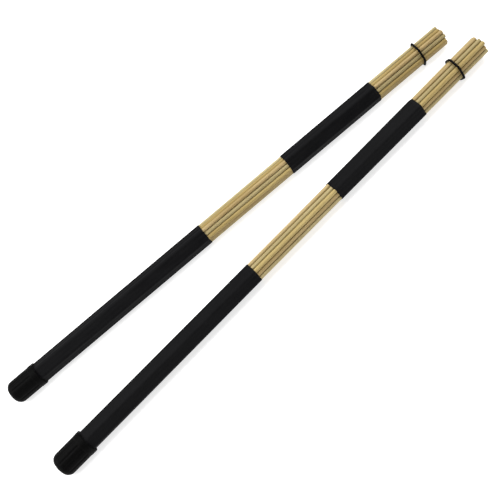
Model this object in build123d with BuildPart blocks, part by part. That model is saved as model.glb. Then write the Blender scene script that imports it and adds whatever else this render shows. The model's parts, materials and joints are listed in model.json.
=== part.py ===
from build123d import *
import cmath
import math
import os

# A pair of drum rods.  Each rod is a bundle of nineteen thin wooden dowels, packed as a hexagon and
# held by a long shrunk-on grip sleeve at the butt, a shrunk-on centre band and a sliding O-ring
# near the tip.  A fluted rubber cap closes the butt.  The bundle is tightest at the butt, spreads a
# little towards the tip, and is twisted by fourteen to twenty degrees on the way.
#
# Frame, in millimetres: the rods lie on Z = 0 as a narrow V, tips towards +X, left rod towards +Y.
# The origin is the middle of their footprint.  Lengths along a rod are stations, counted from the
# outer face of its butt cap.

# Driving dimensions of one rod
rod_length = 404.0
dowel_diameter = 3.1
dowel_chamfer = 0.25
pitch_butt = 3.13            # distance between neighbouring dowel axes at the butt end
pitch_tip = 3.2              # the same at the tip

grip_start = 8.0             # stations of the two sleeves
grip_end = 182.0
band_start = 258.5
band_end = 340.7
sleeve_wall = 0.3
sleeve_clearance = 0.03

ring_cord = 1.6
ring_clearance = 0.12

cap_length = 26.0
cap_radius = 8.75            # of the fluted part
cap_floor = 3.6              # rubber between the outer face and the dowels
cap_clearance = 0.05
cap_rounding = 5.6
collar_length = 4.5          # plain band at the cap's mouth, a little proud of the flutes
collar_radius = 8.95
flute_count = 12
flute_radius = 1.6
flute_depth = 0.3

cut_dome = 0.8               # how far the tip is worn round, from the core to a corner dowel
cut_spread = 1.2             # how much the cut ends differ in length apart from that
cut_step = 4.34              # radians from one dowel's cut to the next

# Layout of the pair
butt_spacing = 84.2          # between the rods' axes at the butts
half_angle = 3.56            # each rod's angle to +X, degrees
lengthwise_offset = 6.4      # how much further forward the right rod lies

dowel_radius = dowel_diameter / 2
cap_bore_end = cap_length + 1.0
flute_end = cap_length - collar_length
flute_centre = cap_radius + flute_radius - flute_depth

# Hexagonal lattice in units of the pitch, as complex numbers: a core, six inner and twelve outer
# places, with each ring ordered by angle.
unit_steps = [cmath.rect(1.0, math.radians(60 * k)) for k in range(6)]


def lattice_ring(rank):
    """Places on one hexagonal ring of the bundle."""
    places = []
    for corner in range(6):
        along = unit_steps[(corner + 2) % 6]
        for step in range(rank):
            places.append(rank * unit_steps[corner] + step * along)
    return places


def dowel_places():
    """Names and lattice places of all the dowels of one rod."""
    named = {"dowel_core": complex(0, 0)}
    for ring_name, rank in (("inner", 1), ("outer", 2)):
        for number, place in enumerate(lattice_ring(rank), start=1):
            named[f"dowel_{ring_name}_{number}"] = place
    return named


def bundle_scale(turns, station):
    """Pitch and turn of the lattice at a station, as one complex number.

    Turns are its angles at the butt and at the tip, in degrees.
    """
    butt = cmath.rect(pitch_butt, math.radians(turns[0]))
    tip = cmath.rect(pitch_tip, math.radians(turns[1]))
    return butt + (tip - butt) * station / rod_length


def ring_reach(turns, station):
    """How far below the rod's axis its O-ring reaches."""
    corners = [2 * bundle_scale(turns, station) * step for step in unit_steps]
    return dowel_radius + ring_clearance + ring_cord - min(corner.imag for corner in corners)


def rod_plane(side, turns, ring_station):
    """Section plane at the butt: X across to the left, Y up, Z along the rod; side is +1 or -1.

    The rod lies on its cap's collar and its O-ring, so it isn't quite level.
    """
    angle = math.radians(half_angle)
    rise = math.atan((ring_reach(turns, ring_station) - collar_radius) / (ring_station - flute_end))
    along = Vector(
        math.cos(angle) * math.cos(rise),
        -side * math.sin(angle) * math.cos(rise),
        math.sin(rise),
    )
    across = Vector(side * math.sin(angle), math.cos(angle), 0)
    butt = Vector(
        -rod_length * math.cos(angle) / 2 - side * lengthwise_offset / 2,
        side * butt_spacing / 2,
        collar_radius * math.cos(rise) - flute_end * math.sin(rise),
    )
    return Plane(origin=butt, x_dir=across, z_dir=along)


def bundle_outline(plane, turns, station, gap):
    """Rounded hexagon that stands clear of the outer dowels by gap."""
    lattice = bundle_scale(turns, station)
    angle = math.degrees(cmath.phase(lattice))
    with BuildSketch(plane.offset(station)) as outline:
        RegularPolygon(radius=2 * abs(lattice), side_count=6, rotation=angle)
        offset(amount=dowel_radius + gap, kind=Kind.ARC)
    return outline.sketch


def dowel_end(plane, turns, place, station):
    """Point on a dowel's axis at a station."""
    at = place * bundle_scale(turns, station)
    return plane.from_local_coords(Vector(at.real, at.imag, station))


def cut_station(number, place, phase):
    """Where a dowel ends: short of the rod's tip by the wear and by the unevenness of the cuts."""
    wear = cut_dome * abs(place) ** 2 / 4
    return rod_length - wear - cut_spread * (1 + math.sin(number * cut_step + phase)) / 2


def make_dowel(plane, turns, place, tip_station):
    """One straight dowel with chamfered ends."""
    start = dowel_end(plane, turns, place, cap_floor)
    end = dowel_end(plane, turns, place, tip_station)
    with BuildPart() as dowel:
        with BuildSketch(Plane(origin=start, z_dir=end - start)):
            Circle(dowel_radius)
        extrude(amount=(end - start).length)
        chamfer(dowel.edges().filter_by(GeomType.CIRCLE), length=dowel_chamfer)
    return dowel.part


def make_sleeve(plane, turns, start, end):
    """Shrunk-on tube that follows the bundle from start to end."""
    inner = [bundle_outline(plane, turns, at, sleeve_clearance) for at in (start, end)]
    outer = [
        bundle_outline(plane, turns, at, sleeve_clearance + sleeve_wall) for at in (start, end)
    ]
    with BuildPart() as sleeve:
        loft(outer, ruled=True)
        loft(inner, ruled=True, mode=Mode.SUBTRACT)
    return sleeve.part


def make_o_ring(plane, turns, station):
    """Round cord that hugs the bundle."""
    centre_line = bundle_outline(plane, turns, station, ring_clearance + ring_cord / 2).wire()
    with BuildPart() as o_ring:
        with BuildSketch(Plane(origin=centre_line @ 0, z_dir=centre_line % 0)):
            Circle(ring_cord / 2)
        sweep(path=centre_line)
    return o_ring.part


def make_butt_cap(plane, turns):
    """Push-on rubber cap: domed end, fluted side, plain collar at the mouth."""
    gap = sleeve_clearance + sleeve_wall + cap_clearance
    bore = [bundle_outline(plane, turns, at, gap) for at in (cap_floor, cap_bore_end)]
    with BuildPart() as cap:
        with BuildSketch(plane):
            Circle(cap_radius)
        extrude(amount=cap_length)
        butt_face = cap.faces().sort_by(Axis(plane.origin, plane.z_dir))[0]
        fillet(butt_face.edges(), cap_rounding)
        with BuildSketch(plane):
            with PolarLocations(flute_centre, flute_count):
                Circle(flute_radius)
        extrude(amount=flute_end, mode=Mode.SUBTRACT)
        with BuildSketch(plane.offset(flute_end)):
            Circle(collar_radius)
        extrude(amount=collar_length)
        loft(bore, ruled=True, mode=Mode.SUBTRACT)
    return cap.part


def save(part, name):
    """Label a piece and write it as its own file."""
    part.label = name
    export_step(part, f"parts/{name}.step")


os.makedirs("parts", exist_ok=True)

# The two rods differ only in side, in how far each is rolled and its bundle twisted, and in the
# station where the O-ring rests
for rod_name, side, turns, ring_station in (
    ("left", 1, (-17.0, 3.0), 381.5),
    ("right", -1, (6.5, 20.5), 378.0),
):
    plane = rod_plane(side, turns, ring_station)
    for number, (name, place) in enumerate(dowel_places().items()):
        tip_station = cut_station(number, place, turns[0])
        save(make_dowel(plane, turns, place, tip_station), f"{rod_name}_{name}")
    save(make_sleeve(plane, turns, grip_start, grip_end), f"{rod_name}_grip_sleeve")
    save(make_sleeve(plane, turns, band_start, band_end), f"{rod_name}_centre_band")
    save(make_o_ring(plane, turns, ring_station), f"{rod_name}_o_ring")
    save(make_butt_cap(plane, turns), f"{rod_name}_butt_cap")
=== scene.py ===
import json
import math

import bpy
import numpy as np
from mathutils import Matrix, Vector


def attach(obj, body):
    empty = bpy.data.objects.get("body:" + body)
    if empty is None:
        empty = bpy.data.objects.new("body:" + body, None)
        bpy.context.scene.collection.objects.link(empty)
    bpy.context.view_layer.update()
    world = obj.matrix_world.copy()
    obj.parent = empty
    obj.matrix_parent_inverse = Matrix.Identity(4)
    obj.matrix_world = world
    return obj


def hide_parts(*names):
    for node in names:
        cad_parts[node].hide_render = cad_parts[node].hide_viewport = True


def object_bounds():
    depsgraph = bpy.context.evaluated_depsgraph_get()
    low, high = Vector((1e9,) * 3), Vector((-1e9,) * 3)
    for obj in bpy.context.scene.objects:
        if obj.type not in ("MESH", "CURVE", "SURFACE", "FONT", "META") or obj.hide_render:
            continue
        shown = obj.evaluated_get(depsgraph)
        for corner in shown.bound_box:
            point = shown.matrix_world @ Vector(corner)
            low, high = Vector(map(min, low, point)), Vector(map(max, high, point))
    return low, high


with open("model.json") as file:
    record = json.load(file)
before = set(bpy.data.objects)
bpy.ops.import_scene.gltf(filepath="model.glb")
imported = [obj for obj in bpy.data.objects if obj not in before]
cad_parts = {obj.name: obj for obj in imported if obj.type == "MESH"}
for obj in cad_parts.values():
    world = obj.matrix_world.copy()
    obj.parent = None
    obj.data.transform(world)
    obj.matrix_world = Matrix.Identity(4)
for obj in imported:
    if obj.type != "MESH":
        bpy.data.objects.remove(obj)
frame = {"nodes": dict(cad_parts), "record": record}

# A pair of drum rods, each a bundle of thin wooden dowels held by a shrunk-on grip sleeve, a
# shrunk-on centre band and a sliding O-ring, with a rubber cap on its butt.  Every CAD node is
# replaced by a finer mesh that keeps its size and place: worn dowels with cut ends, tubes that sink
# a little between the dowels, and moulded caps.
#
# Lengths are millimetres in a rod's own axes (across, up, and along from the butt), and become
# metres in the frame where the meshes are made.  Lights and camera are placed in metres.

cad_low, cad_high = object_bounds()
record = frame["record"]
mounts = {mount["name"]: mount for mount in record["mounts"]}
slots = {part["node"]: part["material_slot"] for part in record["subparts"]}

MM = 0.001
FULL_TURN = 2 * math.pi
QUARTER_TURN = math.pi / 2

# Dowels
dowel_radius = 1.55
dowel_sides = 24
dowel_ring_gap = 6.0         # between the rings of points along a dowel
dowel_wear = 0.012           # how far a dowel is from perfectly round
dowel_wear_orders = (2, 3, 5)    # waves around it that make up this wear
dowel_bow = 0.015            # how far it is from perfectly straight
dowel_bow_waves = (1.0, 2.5)     # half waves of the bow along a dowel, fewest and most
dowel_chamfer = 0.25
dowel_edge = 0.1             # softening where the chamfer meets the side
cut_middle = 0.62            # radius of the ring in the middle of a sawn end
cut_roughness = 0.05         # unevenness of the sawn ends
darker_from = 0.6           # share of a dowel's length from which it grows darker towards the tip
tip_darkening = 1.2           # how much darker its tip is, in units of the dowels' own spread
grain_spread = 500.0         # how far apart, in millimetres, the dowels are cut from the grain
outer_count = 12             # dowels on the outside of a bundle

# Shrunk-on tubes
tube_clearance = 0.03
tube_wall = 0.3
tube_sides = 144
tube_ring_gap = 2.5
tube_sag = 0.16              # share of the way from a taut skin to one pressed between the dowels
tube_sag_at_cut = 0.55
tube_cut_reach = 5.0         # how far in from a cut end the tube hugs the dowels more closely
tube_cut_waver = 0.28        # how far the cut edge strays along the rod
tube_waver_reach = 3.0       # how far in from the cut the tube follows that waver
tube_waver_orders = (1, 2, 3, 7)
tube_uneven = 0.006          # slow change of the wall along the rod, as a share
tube_uneven_wave = 0.11      # radians of that change per millimetre
tube_lip = 0.10              # roundness of the cut edge
tube_shoulder = 0.8          # where the rounding starts, as a share of the wall
tube_shoulder_reach = 0.75   # and as a share of the lip

# O-rings
ring_clearance = 0.12
ring_cord_radius = 0.8
ring_sides = 120
ring_cord_sides = 14
ring_tilt = {"left": 0.07, "right": 0.09}    # how far forward a ring leans for each mm across
ring_uneven = 0.015          # how far its cord is from an even thickness
ring_uneven_orders = (1, 3)
ring_crease = 80.0

# Butt caps
cap_length = 26.0
cap_floor = 3.6
cap_clearance = 0.05
cap_inset = 0.005            # keeps the finer cap within the CAD cap's facets
cap_groove_step = 0.2        # from the collar down to the fluted side
cap_groove_edge = 0.3        # length of the rounded step at the collar
cap_groove_rings = 4
cap_rounding = 5.6
cap_dome_rings = 14
cap_nub_radius = 3.3         # flat disc in the middle of the domed end
cap_nub_height = 0.45
cap_nub_edge = 0.1
cap_nub_rim = 0.3            # how far in from its side the disc starts to round over
cap_nub_foot = 0.5           # how far out from its side the rubber around it levels off
cap_dome_start = 0.8         # how far out from its side the dome starts
cap_dish = 0.06              # how much the disc is hollowed
cap_dish_radius = 1.1        # of the flat floor of that hollow
cap_lip = 0.35
cap_lip_rings = 6
cap_ring_gap = 1.5
cap_bore_flare = 0.25
cap_bore_rings = 5
cap_crease = 50.0
flute_count = 12
flute_radius = 1.6
flute_depth = 0.3
flute_softness = 0.06        # rounding of the ridges between the flutes
flute_ridge_margin = 1.0     # between flutes their limit is held this far outside the cap
cap_sides = flute_count * 20

# The skin around a bundle is searched for between these radii, by halving
skin_low = 5.1
skin_high = 10.0
skin_halvings = 18

usual_crease = 40.0          # degrees between faces, beyond which an edge is left sharp

random = np.random.default_rng(20)


# --- The rods' own axes ---------------------------------------------------------------------


class Rod:
    """One rod's axes, and the straight lines that its dowels follow, from the CAD nodes."""

    def __init__(self, name):
        butt = mounts[f"{name}_butt_face"]
        along = -np.array(butt["axis"])
        along /= np.linalg.norm(along)
        across = np.cross((0.0, 0.0, 1.0), along)
        across /= np.linalg.norm(across)
        self.name = name
        self.butt = np.array(butt["pos_m"]) / MM
        self.axes = np.array((across, np.cross(along, across), along))
        self.collar = mounts[f"{name}_butt_collar"]["dims"]
        self.dowels = {
            node: self.dowel_line(node)
            for node in sorted(frame["nodes"])
            if node.startswith(f"{name}_dowel_")
        }
        outer = [
            self.dowels[f"{name}_dowel_outer_{number}"] for number in range(1, outer_count + 1)
        ]
        self.outer = np.array(outer)

    def vertices(self, node):
        """A CAD node's vertices in rod axes."""
        points = np.array([vertex.co for vertex in frame["nodes"][node].data.vertices])
        return (points / MM - self.butt) @ self.axes.T

    def span(self, node):
        """First and last station of a CAD node."""
        stations = self.vertices(node)[:, 2]
        return stations.min(), stations.max()

    def dowel_line(self, node):
        """Middles of a CAD dowel's two ends."""
        points = self.vertices(node)
        first, last = self.span(node)
        ends = (
            points[points[:, 2] < first + dowel_chamfer / 2],
            points[points[:, 2] > last - dowel_chamfer / 2],
        )
        return np.array([(end.min(axis=0) + end.max(axis=0)) / 2 for end in ends])

    def outer_centres(self, stations):
        """Where the outer dowels pass through the sections at these stations."""
        start, end = self.outer[:, 0], self.outer[:, 1]
        share = (stations[:, None] - start[:, 2]) / (end[:, 2] - start[:, 2])
        return start[:, :2] + share[..., None] * (end - start)[:, :2]

    def to_frame(self, points):
        """Frame coordinates in metres of points in rod axes."""
        return (self.butt + points @ self.axes) * MM


def around(sides):
    """Angles of evenly spaced points around a ring."""
    return np.arange(sides) * FULL_TURN / sides


def quarter_turns(count, first=0.0):
    """Angles up to a quarter turn, starting from a share of it."""
    return np.linspace(first, 1, count) * QUARTER_TURN


def outline(rod, stations, sides, gap, sag):
    """Angles and radii of a skin around the outer dowels, gap clear of them, one row a station.

    Where sag is 0 the skin is taut, and where it is 1 it is pressed in between the dowels.
    The first column follows the first outer dowel as the bundle turns.
    """
    centres = rod.outer_centres(stations)
    turn = np.arctan2(centres[:, 0, 1], centres[:, 0, 0])
    angles = turn[:, None] + around(sides)
    rays = np.stack((np.cos(angles), np.sin(angles)), axis=-1)
    corners = centres[:, None]
    edges = np.roll(corners, -1, axis=2) - corners
    edge_squares = (edges ** 2).sum(axis=-1)
    sag = np.broadcast_to(sag, stations.shape)[:, None]
    low = np.full(angles.shape, skin_low)
    high = np.full(angles.shape, skin_high)
    for _ in range(skin_halvings):
        middle = (low + high) / 2
        offsets = (middle[..., None] * rays)[:, :, None] - corners
        share = np.clip((offsets * edges).sum(axis=-1) / edge_squares, 0, 1)
        taut = np.linalg.norm(offsets - share[..., None] * edges, axis=-1).min(axis=-1)
        pressed = np.linalg.norm(offsets, axis=-1).min(axis=-1)
        outside = taut + sag * (pressed - taut) > dowel_radius + gap
        high = np.where(outside, middle, high)
        low = np.where(outside, low, middle)
    return angles, (low + high) / 2


def ripple(angles, orders, size):
    """Uneven wave around a ring, from a few sines with random phases."""
    total = np.zeros_like(angles)
    for order in orders:
        total += np.sin(order * angles + random.uniform(0, FULL_TURN)) / order ** 0.5
    return size * total / len(orders)


def polar(angles, radii, stations):
    """Points in rod axes."""
    stations = np.broadcast_to(stations, angles.shape)
    return np.stack((radii * np.cos(angles), radii * np.sin(angles), stations), axis=-1)


# --- Meshes ---------------------------------------------------------------------------------


def ring_faces(count, sides, closed):
    """Faces through a run of rings of points, which are numbered ring by ring.

    A closed run joins its last ring to its first.  An open run ends on two further points, the
    middles of its first and last ring.
    """
    column = np.arange(sides)
    following = (column + 1) % sides
    faces = []
    for row in range(count if closed else count - 1):
        here = row * sides
        there = (row + 1) % count * sides
        corners = (here + column, here + following, there + following, there + column)
        faces += np.stack(corners, axis=1).tolist()
    if not closed:
        first_middle = count * sides
        last_ring = first_middle - sides
        pairs = list(zip(column.tolist(), following.tolist()))
        faces += [(first_middle, j, i) for i, j in pairs]
        faces += [(first_middle + 1, last_ring + i, last_ring + j) for i, j in pairs]
    return faces


def add_attribute(mesh, name, kind, field, values):
    """Keeps a value for each point of a mesh, for its material."""
    layer = mesh.attributes.new(name, kind, "POINT")
    layer.data.foreach_set(field, values.astype(np.float32).ravel())


def make_piece(rod, node, body, rings, closed, crease=usual_crease, seed=(0, 0, 0), looks=None):
    """Closed mesh through rings of points in rod axes, standing for a CAD node.

    Edges sharper than crease degrees are left unsmoothed.  For the materials the mesh keeps its
    points, moved by the seed, as the attribute "grain", and looks as one number for each ring.
    """
    count, sides = rings.shape[:2]
    points = rings.reshape(-1, 3)
    if not closed:
        points = np.vstack((points, rings[[0, -1]].mean(axis=1)))
    mesh = bpy.data.meshes.new(f"{node}_mesh")
    mesh.from_pydata(rod.to_frame(points).tolist(), [], ring_faces(count, sides, closed))
    mesh.shade_smooth()
    mesh.set_sharp_from_angle(angle=math.radians(crease))
    add_attribute(mesh, "grain", "FLOAT_VECTOR", "vector", points + seed)
    for attribute, values in (looks or {}).items():
        numbers = np.concatenate((np.repeat(values, sides), values[[0, -1]]))
        add_attribute(mesh, attribute, "FLOAT", "value", numbers)
    piece = bpy.data.objects.new(f"{node}_finished", mesh)
    bpy.context.scene.collection.objects.link(piece)
    mesh.materials.append(materials[slots[node]])
    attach(piece, body)
    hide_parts(node)


def dowel_profile(length):
    """Distances along a dowel, with the radius at each."""
    end = [
        (0.0, cut_middle),
        (0.0, dowel_radius - dowel_chamfer),
        (dowel_edge, dowel_radius - dowel_edge),
        (dowel_chamfer + dowel_edge, dowel_radius),
    ]
    middle = np.arange(dowel_ring_gap, length - dowel_ring_gap / 2, dowel_ring_gap)
    profile = end + [(at, dowel_radius) for at in middle]
    return profile + [(length - at, radius) for at, radius in reversed(end)]


def dowel_looks(profile, length):
    """The dowel's tone along its length, darker towards its tip, and where it is cut."""
    shares = np.array([at for at, _ in profile]) / length
    # Darker towards the tip, over the last part of the dowel's length
    toward_tip = np.clip((shares - darker_from) / (1 - darker_from), 0, 1)
    cut = np.zeros(len(profile))
    cut[[0, 1, -2, -1]] = 1      # the two rings on each sawn end
    return {"tone": random.uniform(-1, 1) - tip_darkening * toward_tip, "cut": cut}


def make_dowel(rod, node):
    """Slightly worn and bowed dowel with chamfered, roughly cut ends."""
    start, end = rod.dowels[node]
    length = np.linalg.norm(end - start)
    along = (end - start) / length
    side = np.cross((0.0, 1.0, 0.0), along)
    side /= np.linalg.norm(side)
    rise = np.cross(along, side)
    profile = dowel_profile(length)
    bow_direction = random.uniform(0, FULL_TURN)
    bow_waves = random.uniform(*dowel_bow_waves)
    angles = around(dowel_sides)
    directions = np.cos(angles)[:, None] * side + np.sin(angles)[:, None] * rise
    wear = ripple(angles, dowel_wear_orders, dowel_wear)
    rings = []
    for at, radius in profile:
        bow = dowel_bow * math.sin(math.pi * bow_waves * at / length)
        middle = (
            start
            + at * along
            + bow * math.cos(bow_direction) * side
            + bow * math.sin(bow_direction) * rise
        )
        radii = radius + wear - dowel_wear / 2
        ring = middle + radii[:, None] * directions
        if radius < dowel_radius - dowel_chamfer / 2:
            inward = 1 if at < length / 2 else -1
            rough = random.uniform(0, cut_roughness, dowel_sides)
            ring = ring + inward * rough[:, None] * along
        rings.append(ring)
    looks = dowel_looks(profile, length)
    seed = random.uniform(-grain_spread, grain_spread, 3)
    make_piece(rod, node, f"{rod.name}_rod", np.array(rings), closed=False, seed=seed, looks=looks)


def make_tube(rod, node):
    """Shrunk-on tube: flat sides that dip between the dowels, and wavering cut edges."""
    first, last = rod.span(node)
    count = int((last - first) / tube_ring_gap)
    spread = np.linspace(0, 1, count)
    stations = first + tube_lip + (last - first - 2 * tube_lip) * spread
    end_distance = np.minimum(stations - first, last - stations)
    closeness = np.exp(-((end_distance / tube_cut_reach) ** 2))
    sag = tube_sag + (tube_sag_at_cut - tube_sag) * closeness
    waver_first = ripple(around(tube_sides), tube_waver_orders, tube_cut_waver)
    waver_last = ripple(around(tube_sides), tube_waver_orders, tube_cut_waver)
    pull = np.exp(-((stations - first) / tube_waver_reach)[:, None]) * waver_first
    pull = pull + np.exp(-((last - stations) / tube_waver_reach)[:, None]) * waver_last
    phase = random.uniform(0, FULL_TURN)
    uneven = 1 + tube_uneven * np.sin(stations * tube_uneven_wave + phase)
    angles, outer_radii = outline(rod, stations, tube_sides, tube_clearance + tube_wall, sag)
    angles, inner_radii = outline(rod, stations, tube_sides, tube_clearance, sag)
    outer_radii = inner_radii + (outer_radii - inner_radii) * uneven[:, None]
    outer = polar(angles, outer_radii, stations[:, None] + pull)
    inner = polar(angles, inner_radii, stations[:, None] + pull)
    middle_radii = (outer_radii + inner_radii) / 2
    shoulder_radii = inner_radii + tube_shoulder * (outer_radii - inner_radii)
    lips = []
    for row, direction, waver in ((-1, 1, waver_last), (0, -1, waver_first)):
        for radii, reach in ((shoulder_radii, tube_shoulder_reach), (middle_radii, 1.0)):
            station = stations[row] + direction * reach * tube_lip + waver
            lips.append(polar(angles[row], radii[row], station))
    # Along the outside, over the last lip, back along the inside and over the first lip
    rings = np.concatenate((outer, lips[:2], inner[::-1], lips[:1:-1]))
    make_piece(rod, node, f"{rod.name}_rod", rings, closed=True)


def make_o_ring(rod):
    """Rubber ring that hugs the bundle and sits a little askew."""
    node = f"{rod.name}_o_ring"
    first, last = rod.span(node)
    station = np.array([(first + last) / 2])
    angles, radii = outline(rod, station, ring_sides, ring_clearance + ring_cord_radius, 0)
    centre = polar(angles[0], radii[0], station[0])
    centre[:, 2] += ring_tilt[rod.name] * centre[:, 0]
    ahead = np.roll(centre, -1, axis=0) - np.roll(centre, 1, axis=0)
    ahead /= np.linalg.norm(ahead, axis=1)[:, None]
    outward = np.cross(ahead, (0.0, 0.0, 1.0))
    outward /= np.linalg.norm(outward, axis=1)[:, None]
    forward = np.cross(outward, ahead)
    cord = ring_cord_radius + ripple(angles[0], ring_uneven_orders, ring_uneven) - ring_uneven
    rings = []
    for turn in around(ring_cord_sides) - QUARTER_TURN:
        offset = math.cos(turn) * outward + math.sin(turn) * forward
        rings.append(centre + cord[:, None] * offset)
    make_piece(rod, node, f"{rod.name}_ring", np.array(rings), closed=True, crease=ring_crease)


def cap_profile(collar_start, collar_radius, body_radius):
    """Stations and radii of the cap's outside, from the middle of its end to its mouth."""
    profile = [
        (cap_dish, cap_dish_radius),
        (0.0, cap_nub_radius - cap_nub_rim),
        (cap_nub_edge, cap_nub_radius),
        (cap_nub_height - cap_nub_edge, cap_nub_radius + cap_nub_edge),
        (cap_nub_height, cap_nub_radius + cap_nub_foot),
    ]
    dome_start = cap_nub_radius + cap_dome_start
    for turn in quarter_turns(cap_dome_rings):
        depth = cap_rounding - (cap_rounding - cap_nub_height) * math.cos(turn)
        profile.append((depth, dome_start + (body_radius - dome_start) * math.sin(turn)))
    flute_end = collar_start - 2 * cap_groove_edge
    fluted = np.arange(cap_rounding + cap_ring_gap, flute_end, cap_ring_gap)
    profile += [(at, body_radius) for at in fluted]
    profile += [(flute_end, body_radius), (collar_start - cap_groove_edge / 2, body_radius)]
    for turn in quarter_turns(cap_groove_rings, first=1 / cap_groove_rings):
        station = collar_start + cap_groove_edge * (1 - math.cos(turn))
        profile.append((station, body_radius + cap_groove_step * math.sin(turn)))
    profile.append((collar_start + cap_ring_gap, collar_radius))
    profile.append((cap_length - cap_ring_gap, collar_radius))
    for turn in quarter_turns(cap_lip_rings):
        station = cap_length - cap_lip * (1 - math.sin(turn))
        profile.append((station, collar_radius - cap_lip * (1 - math.cos(turn))))
    return np.array(profile)


def soft_minimum(first, second):
    """The smaller of two radii, with the change from one to the other rounded off."""
    both = np.logaddexp(-first / flute_softness, -second / flute_softness)
    return -flute_softness * both


def flute_limits(angles, body_radius, ridge_limit):
    """How far out the flutes let the cap reach at these angles: ridge_limit between them."""
    pitch = FULL_TURN / flute_count
    off_flute = (angles + pitch / 2) % pitch - pitch / 2
    flute_centre = body_radius + flute_radius - flute_depth
    inside = np.clip(flute_radius ** 2 - (flute_centre * np.sin(off_flute)) ** 2, 0, None)
    floor = flute_centre * np.cos(off_flute) - np.sqrt(inside)
    return np.where(inside > 0, floor, ridge_limit)


def cap_bore(rod, angles):
    """Rings of points of the cap's bore, from its flared mouth to its floor."""
    flare_end = cap_length - cap_bore_flare
    down = np.linspace(flare_end, cap_floor, cap_bore_rings)
    stations = np.concatenate(([cap_length], down))
    gap = tube_clearance + tube_wall + cap_clearance
    bore_angles, bore_radii = outline(rod, stations, cap_sides, gap, 0)
    bore_radii[0] += cap_bore_flare
    bore = []
    for station, turned, radii in zip(stations, bore_angles, bore_radii):
        level = np.interp(angles, turned % FULL_TURN, radii, period=FULL_TURN)
        bore.append(polar(angles, level, station))
    return bore


def make_butt_cap(rod):
    """Moulded rubber cap: domed end with a small flat nub, fluted side, collar and bore."""
    collar_start = cap_length - rod.collar["length_mm"]
    collar_radius = rod.collar["r_mm"] - cap_inset
    body_radius = collar_radius - cap_groove_step
    angles = around(cap_sides)
    ridge_limit = body_radius + flute_ridge_margin
    flutes = flute_limits(angles, body_radius, ridge_limit)
    outside = []
    for station, radius in cap_profile(collar_start, collar_radius, body_radius):
        radii = np.full(cap_sides, radius)
        if station < collar_start - cap_groove_edge:
            radii = soft_minimum(radii, flutes) - soft_minimum(radius, ridge_limit) + radius
        outside.append(polar(angles, radii, station))
    rings = np.array(outside + cap_bore(rod, angles))
    node = f"{rod.name}_butt_cap"
    make_piece(rod, node, f"{rod.name}_rod", rings, closed=False, crease=cap_crease)


# --- Materials ------------------------------------------------------------------------------

usual_range = (0.3, 0.7)     # where nearly all of a noise's values lie

# Scales of the patterns: lumps per millimetre across, up and along a rod
wood_band_scale = (0.55, 0.55, 0.012)
wood_fibre_scale = (4.2, 4.2, 0.10)
wood_pore_scale = (6.5, 6.5, 0.55)
wood_blotch_scale = (0.12, 0.12, 0.028)
wood_end_scale = (1.6, 1.6, 0.0)
tube_cloud_scale = (0.18, 0.18, 0.05)
tube_peel_scale = (2.6, 2.6, 1.9)
tube_speck_scale = (5.5, 5.5, 4.5)
tube_rub_scale = (3.4, 3.4, 0.06)
rubber_mottle_scale = (0.5, 0.5, 0.4)
rubber_grit_scale = (4.5, 4.5, 4.5)
rubber_dust_scale = (1.6, 1.6, 0.7)

# Wood: light and dark colour of each kind
wood_colours = {
    "wood_pale": ((0.408, 0.340, 0.172), (0.299, 0.239, 0.108)),
    "wood_warm": ((0.420, 0.319, 0.153), (0.309, 0.219, 0.088)),
    "wood_honey": ((0.399, 0.306, 0.120), (0.287, 0.203, 0.066)),
}
pore_colour = (0.23, 0.135, 0.045)
end_grain_dark = (0.20, 0.125, 0.05)
end_grain_light = (0.40, 0.28, 0.13)
wood_shine = 0.3
wood_rough = (0.52, 0.72)
wood_relief = 0.035          # reliefs are in millimetres
fibre_contrast = (-0.25, 0.25)   # how far fibres, blotches and a dowel's tone move the colour
blotch_contrast = (-0.3, 0.3)
tone_contrast = 0.30
pore_range = (0.62, 0.74)    # the part of the noise that turns into pores
pore_strength = (0.0, 0.5)
pore_sink = -0.8             # how much lower the pores are than the fibres
fibre_relief_range = (0.25, 0.75)
end_ring_range = (0.35, 0.65)

# Shrunk-on tube
tube_dark = (0.0036, 0.0036, 0.0040)
tube_light = (0.0058, 0.0058, 0.0063)
tube_rub_colour = (0.010, 0.010, 0.0105)
tube_speck_colour = (0.009, 0.009, 0.0095)
tube_shine = 0.05
tube_rough = (0.56, 0.70)
tube_relief = 0.03
rub_range = (0.64, 0.78)
rub_strength = (0.0, 0.55)
rub_roughness = 0.18         # how much rougher the rub marks are
rub_relief = 0.35            # how much of the relief is the rub marks', beside the orange peel
speck_range = (0.66, 0.75)
speck_strength = (0.0, 0.5)

# Rubber: dark and light grey, range of roughness and depth of relief of each kind
rubbers = {
    "cap_rubber": (0.0005, 0.0014, (0.50, 0.66), 0.05),
    "ring_rubber": (0.0008, 0.0018, (0.48, 0.62), 0.02),
}
rubber_warmth = (1, 0.98, 0.95)  # tint of its lighter mottles
dust_colour = (0.007, 0.0067, 0.0064)
rubber_shine = 0.045
mottle_relief = 0.8          # how much of the relief is the mottles', beside the grit
dust_range = (0.60, 0.78)
dust_strength = (0.0, 0.5)


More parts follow.
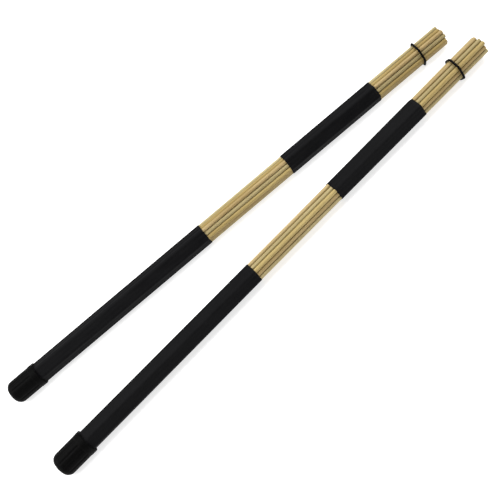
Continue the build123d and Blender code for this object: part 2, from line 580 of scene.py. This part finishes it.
class Finish:
    """A material with short calls for the nodes used here.  Colours are red, green and blue."""

    def __init__(self, name, **settings):
        self.material = bpy.data.materials.new(name)
        self.material.use_nodes = True
        self.tree = self.material.node_tree
        self.shader = self.tree.nodes["Principled BSDF"]
        for socket, value in settings.items():
            self.set(self.shader.inputs[socket.replace("_", " ")], value)

    def set(self, socket, value):
        """Gives an input a number, a colour or another node's output."""
        if isinstance(value, bpy.types.NodeSocket):
            self.tree.links.new(value, socket)
        elif socket.type == "RGBA":
            socket.default_value = (*value, 1)
        else:
            socket.default_value = value

    def node(self, kind, inputs, **settings):
        """Adds a node and returns it."""
        node = self.tree.nodes.new(f"ShaderNode{kind}")
        for setting, value in settings.items():
            setattr(node, setting, value)
        for key, value in inputs.items():
            self.set(node.inputs[key], value)
        return node

    def attribute(self, name, output):
        """One of the numbers or vectors that the mesh keeps for its points."""
        return self.node("Attribute", {}, attribute_name=name).outputs[output]

    def noise(self, scale, detail=3.0, rough=0.55, warp=0.0):
        """Noise in the mesh's own millimetres, scaled."""
        stretch = {"Vector": self.attribute("grain", "Vector"), "Scale": scale}
        inputs = {
            "Vector": self.node("Mapping", stretch).outputs["Vector"],
            "Scale": 1.0,
            "Detail": detail,
            "Roughness": rough,
            "Distortion": warp,
        }
        return self.node("TexNoise", inputs).outputs["Fac"]

    def spread(self, value, old_range=usual_range, new_range=(0.0, 1.0)):
        """Maps a range of a value to another range, and holds it there."""
        inputs = {
            "Value": value,
            "From Min": old_range[0],
            "From Max": old_range[1],
            "To Min": new_range[0],
            "To Max": new_range[1],
        }
        return self.node("MapRange", inputs).outputs["Result"]

    def sum(self, first, second, share=1.0):
        """The first value plus a share of the second."""
        inputs = {0: second, 1: share, 2: first}
        return self.node("Math", inputs, operation="MULTIPLY_ADD").outputs["Value"]

    def mix(self, share, first, second):
        """From the first colour to the second."""
        node = self.tree.nodes.new("ShaderNodeMix")
        node.data_type = "RGBA"
        for key, value in (("Factor", share), ("A", first), ("B", second)):
            socket = next(s for s in node.inputs if s.name == key and s.enabled)
            self.set(socket, value)
        return next(s for s in node.outputs if s.enabled)

    def finish(self, colour, rough, height, depth):
        """Connects the surface's colour, roughness and relief, whose depth is in millimetres."""
        inputs = {"Height": height, "Strength": 1.0, "Distance": depth * MM}
        self.set(self.shader.inputs["Base Color"], colour)
        self.set(self.shader.inputs["Roughness"], rough)
        self.set(self.shader.inputs["Normal"], self.node("Bump", inputs).outputs["Normal"])
        return self.material


def make_wood(name, light, dark):
    """Bare dowel wood: long fibres, short pores, a tone for each dowel and darker end grain."""
    wood = Finish(name, Specular_IOR_Level=wood_shine)
    band = wood.noise(wood_band_scale, detail=3.0, rough=0.5, warp=0.4)
    fibre = wood.noise(wood_fibre_scale, detail=4.0, rough=0.6)
    pore = wood.noise(wood_pore_scale, detail=2.0, rough=0.5)
    blotch = wood.noise(wood_blotch_scale, detail=2.0, rough=0.5)
    tone = wood.attribute("tone", "Fac")
    share = wood.sum(wood.spread(band), wood.spread(fibre, new_range=fibre_contrast))
    share = wood.sum(share, tone, tone_contrast)
    share = wood.sum(share, wood.spread(blotch, new_range=blotch_contrast))
    colour = wood.mix(share, dark, light)
    pores = wood.spread(pore, pore_range, pore_strength)
    colour = wood.mix(pores, colour, pore_colour)
    rings = wood.noise(wood_end_scale, detail=3.0, rough=0.6, warp=1.2)
    end_grain = wood.mix(wood.spread(rings, end_ring_range), end_grain_dark, end_grain_light)
    colour = wood.mix(wood.attribute("cut", "Fac"), colour, end_grain)
    rough = wood.spread(fibre, new_range=wood_rough)
    height = wood.sum(wood.spread(fibre, fibre_relief_range), pores, pore_sink)
    return wood.finish(colour, rough, height, wood_relief)


def make_shrink_tube(name):
    """Satin black heat-shrink: faint cloudiness, orange peel, lengthwise rub marks."""
    tube = Finish(name, Specular_IOR_Level=tube_shine)
    cloud = tube.noise(tube_cloud_scale, detail=3.0, rough=0.6)
    peel = tube.noise(tube_peel_scale, detail=3.0, rough=0.55)
    speck = tube.noise(tube_speck_scale, detail=2.0, rough=0.5)
    rub = tube.noise(tube_rub_scale, detail=3.0, rough=0.6, warp=0.2)
    colour = tube.mix(tube.spread(cloud), tube_dark, tube_light)
    marks = tube.spread(rub, rub_range, rub_strength)
    colour = tube.mix(marks, colour, tube_rub_colour)
    colour = tube.mix(tube.spread(speck, speck_range, speck_strength), colour, tube_speck_colour)
    rough = tube.sum(tube.spread(cloud, new_range=tube_rough), marks, rub_roughness)
    height = tube.sum(peel, rub, rub_relief)
    return tube.finish(colour, rough, height, tube_relief)


def make_rubber(name, dark, light, rough_range, relief):
    """Black rubber: mottled skin with a fine moulded texture and a little dust."""
    rubber = Finish(name, Specular_IOR_Level=rubber_shine)
    mottle = rubber.noise(rubber_mottle_scale, detail=4.0, rough=0.6)
    grit = rubber.noise(rubber_grit_scale, detail=3.0, rough=0.6)
    dust = rubber.noise(rubber_dust_scale, detail=5.0, rough=0.65)
    light_colour = tuple(light * warmth for warmth in rubber_warmth)
    colour = rubber.mix(rubber.spread(mottle), (dark, dark, dark), light_colour)
    colour = rubber.mix(rubber.spread(dust, dust_range, dust_strength), colour, dust_colour)
    rough = rubber.spread(mottle, new_range=rough_range)
    height = rubber.sum(grit, mottle, mottle_relief)
    return rubber.finish(colour, rough, height, relief)


# --- Floor, light and camera ----------------------------------------------------------------

floor_size = 30.0
floor_shade = 0.5            # the floor's own colour; its glow makes up for the rest of white
floor_glow = 0.74
floor_rough = 0.95
zenith_strength = 0.20
horizon_strength = 0.87
horizon_band = (0.20, 0.40)      # heights, as sines, between which it fades

# Name: azimuth and elevation in degrees, distance and size in metres, power in watts
softboxes = {
    "tip_end": (7.0, 50.0, 1.6, 1.2, 28.5),
    "butt_end": (173.0, 50.0, 1.1, 0.85, 13.6),
    "behind": (80.0, 45.0, 1.8, 0.9, 4.0),
}

# The camera stands on the right rod's side, and is tipped so that the rods lie across the view
camera_azimuth = -92.62
camera_elevation = 45.0
camera_roll = -40.73
camera_distance = 0.605
camera_lens = 63.55
camera_nearest = 0.01        # anything nearer isn't drawn
camera_aim = Vector((-0.0086, -0.0123, 0.0090))


def direction_from(azimuth, elevation):
    """Unit vector towards an azimuth from +X and an elevation, in degrees."""
    sideways, rise = math.radians(azimuth), math.radians(elevation)
    level = math.cos(rise)
    return Vector((level * math.cos(sideways), level * math.sin(sideways), math.sin(rise)))


def aimed(position, target, roll=0.0):
    """Placement at a position, looking at a target, tipped by roll degrees."""
    forward = (target - position).normalized()
    right = forward.cross(Vector((0, 0, 1))).normalized()
    turn = Matrix.Rotation(math.radians(roll), 4, "Z")
    axes = Matrix((right, right.cross(forward), -forward)).transposed().to_4x4()
    return Matrix.Translation(position) @ axes @ turn


def make_floor_finish():
    """White card with a glow of its own, and no shine."""
    card = Finish(
        "floor_card",
        Base_Color=(floor_shade, floor_shade, floor_shade),
        Roughness=floor_rough,
        Specular_IOR_Level=0.0,
        Emission_Color=(1, 1, 1),
        Emission_Strength=floor_glow,
    )
    return card.material


def add_surroundings():
    """White at the horizon, where the floor ends, and dimmer overhead."""
    world = bpy.data.worlds.new("surroundings")
    world.use_nodes = True
    nodes, links = world.node_tree.nodes, world.node_tree.links
    background = nodes["Background"]
    direction = nodes.new("ShaderNodeTexCoord")
    parts = nodes.new("ShaderNodeSeparateXYZ")
    fade = nodes.new("ShaderNodeMapRange")
    fade.inputs["From Min"].default_value = horizon_band[0]
    fade.inputs["From Max"].default_value = horizon_band[1]
    fade.inputs["To Min"].default_value = horizon_strength
    fade.inputs["To Max"].default_value = zenith_strength
    links.new(direction.outputs["Generated"], parts.inputs["Vector"])
    links.new(parts.outputs["Z"], fade.inputs["Value"])
    links.new(fade.outputs["Result"], background.inputs["Strength"])
    background.inputs["Color"].default_value = (1, 1, 1, 1)
    bpy.context.scene.world = world


def add_floor():
    """Large square floor around the origin."""
    half = floor_size / 2
    corners = [(-half, -half, 0), (half, -half, 0), (half, half, 0), (-half, half, 0)]
    mesh = bpy.data.meshes.new("floor_mesh")
    mesh.from_pydata(corners, [], [(0, 1, 2, 3)])
    mesh.materials.append(make_floor_finish())
    floor = bpy.data.objects.new("floor", mesh)
    bpy.context.scene.collection.objects.link(floor)


def add_softboxes():
    """Square area lights, turned to the middle of the object."""
    middle = (cad_low + cad_high) / 2
    for name, (azimuth, elevation, distance, size, power) in softboxes.items():
        light = bpy.data.lights.new(name, "AREA")
        light.size = size
        light.energy = power
        lamp = bpy.data.objects.new(name, light)
        bpy.context.scene.collection.objects.link(lamp)
        position = middle + distance * direction_from(azimuth, elevation)
        lamp.matrix_world = aimed(position, middle)


def add_camera():
    """Camera that looks down on the pair from the right rod's side."""
    camera = bpy.data.objects.new("camera", bpy.data.cameras.new("camera"))
    bpy.context.scene.collection.objects.link(camera)
    position = camera_aim + camera_distance * direction_from(camera_azimuth, camera_elevation)
    camera.matrix_world = aimed(position, camera_aim, camera_roll)
    camera.data.lens = camera_lens
    camera.data.clip_start = camera_nearest
    bpy.context.scene.camera = camera


# --- The object -----------------------------------------------------------------------------

materials = {name: make_wood(name, *colours) for name, colours in wood_colours.items()}
materials["shrink_sleeve"] = make_shrink_tube("shrink_sleeve")
for name, values in rubbers.items():
    materials[name] = make_rubber(name, *values)

for rod in (Rod("left"), Rod("right")):
    for node in rod.dowels:
        make_dowel(rod, node)
    make_tube(rod, f"{rod.name}_grip_sleeve")
    make_tube(rod, f"{rod.name}_centre_band")
    make_o_ring(rod)
    make_butt_cap(rod)

add_floor()
add_surroundings()
add_softboxes()
add_camera()
bpy.context.scene.view_settings.view_transform = "Standard"
